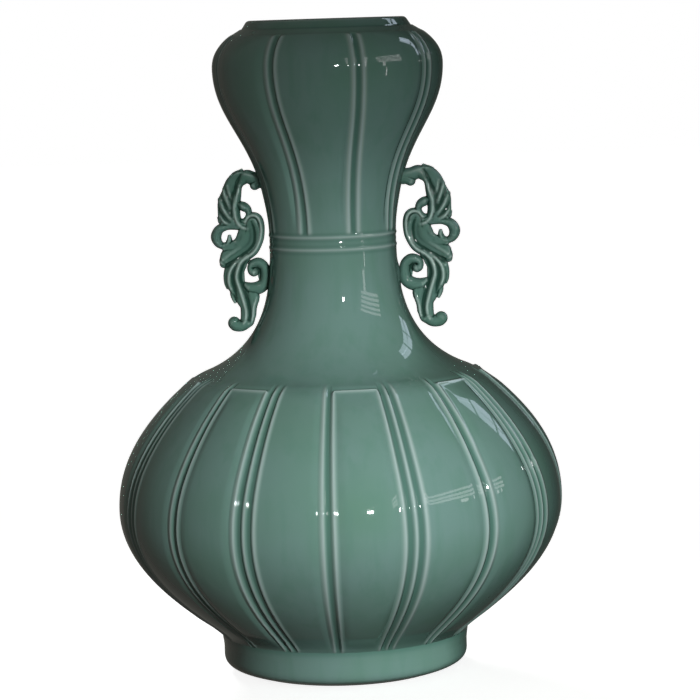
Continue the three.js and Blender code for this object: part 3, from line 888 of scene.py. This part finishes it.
def handle(name, side, reach, shift):
    """A pierced scroll handle. side is 1 for the right-hand one and -1 for the left."""
    low, high = np.array(GRID_LOW), np.array(GRID_HIGH)
    counts = np.ceil((high - low) / GRID_STEP).astype(int) + 1
    axes = [low[k] + GRID_STEP * np.arange(counts[k]) for k in range(3)]
    x, z = np.meshgrid(axes[0], axes[2], indexing="ij")
    square = thickness_field(x, z)
    relief, rib, flute = relief_field(x, z)
    rim = smooth(0.5, 9, square)
    plain = np.sqrt(np.maximum(square, 0))
    half = np.maximum(plain + relief * rim, 0.5 * plain)
    raised = np.where(square > 0, half**2, square)
    field = raised[:, None, :] - (axes[1] ** 2)[None, :, None]
    root = np.minimum(x - low[0] - ROOT_CUT, 1)[:, None, :]
    field = np.minimum(field, root * 4)
    points, faces = surface_net(field, low, GRID_STEP)
    points = relaxed(points, faces, 4)
    bend = curvature(points, faces)
    cell = np.rint((points[:, [0, 2]] - low[[0, 2]]) / GRID_STEP).astype(int).T
    thin = np.clip((bend - 0.26) / 0.5, 0, 0.8) + 0.8 * (rib * rim)[tuple(cell)]
    pool = np.clip((-bend + 0.02) / 0.3, 0, 1) + 0.8 * (flute * rim)[tuple(cell)]
    thin, pool = np.clip(thin, 0, 1), np.clip(pool, 0, 1)
    points[:, 0] = LOWER_JOINT + (points[:, 0] - LOWER_JOINT) * reach - shift
    points[:, :2] *= side
    return make_mesh(name, points, faces, {"thin": thin, "pool": pool})


# The slip mounds round the handles' roots: height, half-width round the neck, half-height, thickness.
UPPER_MOUND = (288.4, 8.5, 7.2, 1.7)
LOWER_MOUND = (231.6, 6.5, 9.0, 1.2)


def outer_radius(height):
    """The vase's outer radius round the handles, without its carving."""
    curves = np.vstack([shoulder_and_neck.path, waist_and_bulb.path])
    return np.interp(height, curves[:, 1], curves[:, 0])


def slip_mound(name, side, height, half_width, half_height, thickness):
    """A low mound of slip that blends a handle's root into the neck's surface."""
    rings, spokes = 26, 96
    ratio, angle = np.meshgrid(
        np.linspace(0, 1, rings), np.linspace(0, 2 * math.pi, spokes, endpoint=False), indexing="ij")
    along, up = ratio * np.cos(angle) * half_width, ratio * np.sin(angle) * half_height
    lift = thickness * (1 - ratio**2) ** 2 + 0.05
    points = []
    for out in (lift, np.full_like(lift, -0.8)):
        z = height + up
        base = outer_radius(z) + out
        turn = math.pi / 2 + along / outer_radius(z)
        points.append(np.stack([base * np.sin(turn), -base * np.cos(turn), z], 2))
    shell = np.concatenate([points[0][::-1], points[1]], 0)
    faces = torus_faces(len(shell), spokes)
    points = shell.reshape(-1, 3)
    points[:, :2] *= side
    pool = np.concatenate([(0.35 * bump(ratio - 0.75, 0.25))[::-1], 0 * ratio], 0)
    return sealed(make_mesh(name, points, faces, {"pool": pool.ravel()}))


# ---------------------------------------------------------------- materials
def node(tree, kind, **settings):
    made = tree.nodes.new(kind)
    for key, value in settings.items():
        if hasattr(made, key):
            setattr(made, key, value)
        else:
            made.inputs[key].default_value = value
    return made


def mixed(tree, factor, a, b, blend="MIX"):
    """A colour mix node; factor, a and b are sockets or values."""
    mix = tree.nodes.new("ShaderNodeMix")
    mix.data_type = "RGBA"
    mix.blend_type = blend
    sockets = [s for s in mix.inputs if s.enabled]
    for socket, value in zip(sockets, (factor, a, b)):
        if isinstance(value, bpy.types.NodeSocket):
            tree.links.new(value, socket)
        else:
            socket.default_value = value
    return next(s for s in mix.outputs if s.enabled)


def shader_mix(tree, factor, a, b):
    """Shader a where the factor socket is 0, and b where it is 1."""
    mix = tree.nodes.new("ShaderNodeMixShader")
    for socket, source in zip(mix.inputs, (factor, a, b)):
        tree.links.new(source, socket)
    return mix.outputs[0]


def share(tree, name, strength):
    """A vertex share, times a strength, clamped to 0 to 1."""
    source = node(tree, "ShaderNodeAttribute", attribute_name=name)
    scaled = node(tree, "ShaderNodeMath", operation="MULTIPLY", use_clamp=True)
    scaled.inputs[1].default_value = strength
    tree.links.new(source.outputs["Fac"], scaled.inputs[0])
    return scaled.outputs[0]


def ranged(tree, source, low, high, to_low, to_high):
    """A socket's value, moved from the range low to high into another range."""
    spread = node(tree, "ShaderNodeMapRange")
    for key, value in (("From Min", low), ("From Max", high), ("To Min", to_low), ("To Max", to_high)):
        spread.inputs[key].default_value = value
    tree.links.new(source, spread.inputs["Value"])
    return spread.outputs[0]


def noise(tree, place, scale, detail=2.0, stretch=1.0):
    """Noise over the object's own coordinates, drawn out along the vase's height by `stretch`."""
    squeezed = tree.nodes.new("ShaderNodeMapping")
    squeezed.inputs["Scale"].default_value = (1, 1, 1 / stretch)
    tree.links.new(place, squeezed.inputs["Vector"])
    texture = node(tree, "ShaderNodeTexNoise", Scale=scale, Detail=detail)
    tree.links.new(squeezed.outputs[0], texture.inputs["Vector"])
    return texture.outputs["Fac"]


BODY_COLOUR = (0.1, 0.185, 0.158)
PALE_COLOUR = (0.28, 0.36, 0.345)
DEEP_COLOUR = (0.045, 0.112, 0.088)
BARE_CLAY = (0.56, 0.53, 0.5)
# Painted shade that the glaze takes on towards its outline.
OUTLINE_SHADE_COLOUR = (0.01, 0.03, 0.022)


def tinted(colour, red, green, blue):
    return (colour[0] * red, colour[1] * green, colour[2] * blue, 1)


def glaze(
    name, body, pale, deep, pale_strength=0.8, deep_strength=0.75, outline_shade_strength=0.72, ripple_strength=0.25
):
    """Celadon glaze: pale where thin, dark where pooled, with faint clouds and brush marks, and painted shade
    that darkens it towards the outline.
    """
    material = bpy.data.materials.new(name)
    material.use_nodes = True
    tree = material.node_tree
    surface = tree.nodes["Principled BSDF"]
    place = tree.nodes.new("ShaderNodeTexCoord").outputs["Object"]
    cloud = ranged(tree, noise(tree, place, 9.0, 3.0), 0.3, 0.7, 0, 0.6)
    colour = mixed(tree, cloud, (*body, 1), tinted(body, 1.18, 1.08, 1.18))
    depth = ranged(tree, noise(tree, place, 14.0, 3.0), 0.48, 0.72, 0, 0.8)
    colour = mixed(tree, depth, colour, tinted(body, 0.82, 0.94, 0.8))
    brushed = ranged(tree, noise(tree, place, 130.0, 3.0, 7.0), 0.48, 0.72, 0, 0.7)
    colour = mixed(tree, brushed, colour, tinted(body, 0.86, 0.94, 0.88))
    colour = mixed(tree, share(tree, "pool", deep_strength), colour, (*deep, 1))
    colour = mixed(tree, share(tree, "thin", pale_strength), colour, (*pale, 1))
    colour = mixed(tree, share(tree, "bare", 1.0), colour, (*BARE_CLAY, 1))
    # Painted shade: the colour darkens towards the outline, where the glaze is seen edge-on, in place of the
    # shade of a dark room.
    facing = node(tree, "ShaderNodeLayerWeight", Blend=0.5).outputs["Facing"]
    edge = ranged(tree, facing, 0.46, 0.84, 0, outline_shade_strength)
    colour = mixed(tree, edge, colour, (*OUTLINE_SHADE_COLOUR, 1))
    tree.links.new(colour, surface.inputs["Base Color"])
    grain = noise(tree, place, 420.0)
    matt = node(tree, "ShaderNodeMath", operation="MAXIMUM")
    tree.links.new(ranged(tree, grain, 0, 1, 0.025, 0.06), matt.inputs[0])
    tree.links.new(share(tree, "bare", 0.75), matt.inputs[1])
    tree.links.new(matt.outputs[0], surface.inputs["Roughness"])
    surface.inputs["IOR"].default_value = 1.5
    ripples = node(tree, "ShaderNodeBump", Strength=ripple_strength, Distance=0.00012)
    tree.links.new(noise(tree, place, 55.0), ripples.inputs["Height"])
    pores = node(tree, "ShaderNodeBump", Strength=0.12, Distance=0.00003)
    tree.links.new(grain, pores.inputs["Height"])
    tree.links.new(ripples.outputs[0], pores.inputs["Normal"])
    tree.links.new(pores.outputs[0], surface.inputs["Normal"])
    return material


celadon = glaze("celadon_glaze", BODY_COLOUR, PALE_COLOUR, DEEP_COLOUR)
base_glaze = glaze("base_glaze", (0.12, 0.22, 0.18), PALE_COLOUR, DEEP_COLOUR)
# The handles get less of the painted shade towards their outline.
handle_glaze = glaze(
    "handle_glaze", (0.07, 0.148, 0.118), (0.31, 0.41, 0.375), (0.012, 0.04, 0.029),
    pale_strength=0.85, deep_strength=1.0, outline_shade_strength=0.3, ripple_strength=0.9,
)


def finish_piece(piece, cad_node, material):
    piece.data.materials.append(material)
    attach(piece, "root")
    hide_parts(cad_node)
    return piece


# ---------------------------------------------------------------- the vase's pieces
finish_piece(foot_ring(), "foot_ring", celadon)
finish_piece(base_disc(), "base_disc", base_glaze)

near_foot = (FOOT_TOP, FOOT_TOP + 4)
near_panel_top = (PANEL_TOP - 4, PANEL_TOP + 5)
near_band = (BAND_BOTTOM - 4, BAND_TOP + 5)
near_collar = (COLLAR - 4, COLLAR)

on_belly = (belly_columns, gathered)
on_lobes = (lobe_columns, leaned)
SECTIONS = [
    ("lower_belly", lower_belly, FOOT_TOP, EQUATOR, belly_carving, [near_foot], on_belly),
    ("upper_belly", upper_belly, EQUATOR, PANEL_TOP, belly_carving, [near_panel_top], on_belly),
    ("shoulder", shoulder_and_neck, PANEL_TOP, NECK_JOINT, neck_carving, [near_panel_top], on_belly),
    ("neck", shoulder_and_neck, NECK_JOINT, BAND_BOTTOM, neck_carving, [near_band], on_belly),
    ("waist", waist_and_bulb, BAND_TOP, BULB_START, lobe_carving, [near_band], on_lobes),
    ("lower_bulb", waist_and_bulb, BULB_START, BULB_WIDEST, lobe_carving, [], on_lobes),
    ("upper_bulb", bulb_top, BULB_WIDEST, COLLAR, lobe_carving, [near_collar], on_lobes),
    ("neck_band", band_wall, BAND_BOTTOM, BAND_TOP, band_carving, [near_band], on_belly),
]
for node_name, curve, low, high, carving, fine, (columns, bend) in SECTIONS:
    piece = skin(node_name + "_glazed", curve, low, high, columns, carving, fine, bend)
    finish_piece(piece, node_name, celadon)

finish_piece(lip_ring(), "lip_ring", celadon)

for side_name, side, reach, shift in (("right", 1, 1.0, 0.0), ("left", -1, LEFT_REACH, LEFT_SHIFT)):
    piece = handle(f"handle_{side_name}_glazed", side, reach, shift)
    finish_piece(piece, f"handle_{side_name}", handle_glaze)
    for place, mound in (("upper", UPPER_MOUND), ("lower", LOWER_MOUND)):
        piece = slip_mound(f"{place}_lute_{side_name}_glazed", side, *mound)
        finish_piece(piece, f"{place}_lute_{side_name}", celadon)

# ---------------------------------------------------------------- floor, light and camera
scene = bpy.context.scene


def floor_material():
    """Near-white to the camera, with soft shadows. Dim to every other ray, so it doesn't light the foot."""
    material = bpy.data.materials.new("pale_floor")
    material.use_nodes = True
    tree = material.node_tree
    tree.nodes.clear()
    speckle = node(tree, "ShaderNodeTexNoise", Scale=60.0)
    tint = mixed(tree, speckle.outputs["Fac"], (0.8, 0.8, 0.79, 1), (0.84, 0.84, 0.83, 1))
    lit = tree.nodes.new("ShaderNodeBsdfDiffuse")
    tree.links.new(tint, lit.inputs["Color"])
    glow = node(tree, "ShaderNodeEmission", Strength=0.87)
    seen = tree.nodes.new("ShaderNodeAddShader")
    tree.links.new(lit.outputs[0], seen.inputs[0])
    tree.links.new(glow.outputs[0], seen.inputs[1])
    dim = node(tree, "ShaderNodeBsdfDiffuse", Color=(0.1, 0.1, 0.1, 1))
    rays = node(tree, "ShaderNodeLightPath")
    out = node(tree, "ShaderNodeOutputMaterial")
    surface = shader_mix(tree, rays.outputs["Is Camera Ray"], dim.outputs[0], seen.outputs[0])
    tree.links.new(surface, out.inputs[0])
    return material


def floor():
    half = 6.0
    corners = np.array([(-half, -half, 0), (half, -half, 0), (half, half, 0), (-half, half, 0)]) / MM
    piece = make_mesh("floor", corners, np.array([[0, 1, 2, 3]]), {})
    piece.data.materials.append(floor_material())
    piece.visible_glossy = False


LAMP_DISTANCE = 2.0
SPOT_DISTANCE = 1.1


def aimed(piece, azimuth, elevation, distance, height):
    """Puts a light on a sphere round the axis at `height`, pointing inwards. Degrees and metres."""
    a, e = math.radians(azimuth), math.radians(elevation)
    back = np.array([math.sin(a) * math.cos(e), -math.cos(a) * math.cos(e), math.sin(e)])
    z = back / np.linalg.norm(back)
    x = np.cross((0, 0, 1), z)
    x /= np.linalg.norm(x)
    y = np.cross(z, x)
    place = back * distance + np.array([0, 0, height])
    rows = [[x[i], y[i], z[i], place[i]] for i in range(3)]
    piece.matrix_world = Matrix([*rows, [0, 0, 0, 1]])


def mirrored_lamp(name, power, size, colour, azimuth, elevation, height, pieces):
    """A rectangular lamp that only shows as a reflection, and only in these pieces."""
    light = bpy.data.lights.new(name, "AREA")
    light.shape = "RECTANGLE"
    light.size, light.size_y = size
    light.energy = power
    light.color = colour
    piece = bpy.data.objects.new(name, light)
    scene.collection.objects.link(piece)
    aimed(piece, azimuth, elevation, LAMP_DISTANCE, height)
    piece.visible_diffuse = False
    lit_only(piece, pieces)


def lit_only(light, pieces):
    """The light falls on these pieces and on nothing else."""
    receivers = bpy.data.collections.new(light.name + "_receivers")
    for piece in pieces:
        receivers.objects.link(piece)
    light.light_linking.receiver_collection = receivers


def spot(name, power, cone, size, azimuth, elevation, height):
    """A soft round lamp that lights the glaze's colour and isn't mirrored in it."""
    light = bpy.data.lights.new(name, "SPOT")
    light.energy = power
    light.spot_size = math.radians(cone)
    light.spot_blend = 1.0
    light.shadow_soft_size = size
    piece = bpy.data.objects.new(name, light)
    scene.collection.objects.link(piece)
    aimed(piece, azimuth, elevation, SPOT_DISTANCE, height)
    piece.visible_glossy = False
    return piece


def sky():
    """A white backdrop for the camera, a dimmer room for the light and the reflections."""
    world = bpy.data.worlds.new("room")
    scene.world = world
    world.use_nodes = True
    tree = world.node_tree
    tree.nodes.clear()
    seen = node(tree, "ShaderNodeBackground", Strength=1.0, Color=(1, 1, 1, 1))
    lit = node(tree, "ShaderNodeBackground", Strength=0.18, Color=(1, 0.98, 0.93, 1))
    mirrored = node(tree, "ShaderNodeBackground", Strength=1.0)
    along = tree.nodes.new("ShaderNodeSeparateXYZ")
    tree.links.new(tree.nodes.new("ShaderNodeTexCoord").outputs["Generated"], along.inputs[0])
    to_right = ranged(tree, along.outputs["X"], -0.8, 0.6, 0, 1)
    walls = mixed(tree, to_right, (0.17, 0.16, 0.14, 1), (0.03, 0.045, 0.04, 1))
    tree.links.new(walls, mirrored.inputs["Color"])
    rays = node(tree, "ShaderNodeLightPath")
    room = shader_mix(tree, rays.outputs["Is Glossy Ray"], lit.outputs[0], mirrored.outputs[0])
    backdrop = shader_mix(tree, rays.outputs["Is Camera Ray"], room, seen.outputs[0])
    tree.links.new(backdrop, node(tree, "ShaderNodeOutputWorld").inputs[0])


def light_the_glaze():
    """Two key lamps and one behind, for the glaze's colour."""
    lit_only(spot("key", 66, 28, 0.12, 21, 12, 0.115), [p for p in glazed if p is not foot])
    lit_only(spot("foot_key", 66, 28, 0.1, 30, 6, 0.05), [foot])
    spot("back_key", 60, 34, 0.2, 200, 20, 0.16)


def small_lamps():
    """The bright dots in the glaze. The neck mirrors a lamp of its own, and so do the handles."""
    mirrored_lamp("lamp", 8, (0.14, 0.07), WHITE, 16.8, 11, 0.1, [p for p in glazed if p not in neck])
    mirrored_lamp("neck_lamp", 4, (0.1, 0.1), WHITE, 18.4, 19, 0.23, neck)
    mirrored_lamp("far_lamp", 0.3, (0.06, 0.06), WHITE, 125, 8, 0.2, glazed)
    for azimuth, elevation in ((-40, 40), (45, 50), (70, 15)):
        mirrored_lamp("glint", 4, (0.12, 0.12), WHITE, azimuth, elevation, 0.25, handles)


def shop_front():
    """A slatted window, a door and signs, off to the right of the camera."""
    for elevation in (14, 17, 20, 23.5, 27):
        mirrored_lamp("shop_window", 0.7, (1.15, 0.07), SHOP_COLOUR, 66, elevation, 0.22, above)
    for elevation in (10, 12.5, 15.5):
        mirrored_lamp("shop_awning", 0.9, (1.6, 0.06), SHOP_COLOUR, 69, elevation, 0.22, belly)
    mirrored_lamp("shop_door", 0.5, (0.13, 0.36), SHOP_COLOUR, 57, 7.5, 0.22, above)
    mirrored_lamp("door_gap", 0.25, (0.04, 0.3), SHOP_COLOUR, 60, -3, 0.22, above)
    for azimuth in (70, 83):
        mirrored_lamp("shop_sign", 0.22, (0.2, 0.08), SHOP_COLOUR, azimuth, 7, 0.22, belly)


def window():
    """Six panes of a tall window, to the right and behind."""
    for azimuth in (125, 131.5):
        for elevation in (22, 33, 44):
            mirrored_lamp("window_pane", 0.6, (0.18, 0.34), DAYLIGHT, azimuth, elevation, 0.19, glazed)


WHITE = (1, 1, 1)
SHOP_COLOUR = (1, 0.96, 0.98)
DAYLIGHT = (0.72, 0.84, 1)
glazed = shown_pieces()
foot = bpy.data.objects["foot_ring_glazed"]
handles = [piece for piece in glazed if piece.name.startswith("handle_")]
neck = [bpy.data.objects["neck_glazed"], bpy.data.objects["shoulder_glazed"]]
belly = [piece for piece in glazed if "belly" in piece.name]
above = [piece for piece in glazed if piece not in belly]

floor()
sky()
light_the_glaze()
small_lamps()
shop_front()
window()

# The camera stands a little to the right of the front, slightly above the mouth.
CAMERA_TURN = 3.0
CAMERA_DISTANCE = 1.7192
CAMERA_SIDE = 0.008
CAMERA_HEIGHT = 0.385
CAMERA_PITCH = 6.581
CAMERA_ROLL = 1.798
CAMERA_LENS = 152.0


def camera():
    turn = math.radians(CAMERA_TURN)
    data = bpy.data.cameras.new("camera")
    data.lens, data.sensor_width = CAMERA_LENS, 36
    data.clip_end = 50
    piece = bpy.data.objects.new("camera", data)
    scene.collection.objects.link(piece)
    place = Matrix.Rotation(turn, 4, "Z") @ Matrix.Translation((CAMERA_SIDE, -CAMERA_DISTANCE, CAMERA_HEIGHT))
    tilt = Matrix.Rotation(math.radians(90 - CAMERA_PITCH), 4, "X")
    roll = Matrix.Rotation(math.radians(-CAMERA_ROLL), 4, "Z")
    piece.matrix_world = place @ tilt @ roll
    scene.camera = piece


camera()
scene.view_settings.view_transform = "Standard"
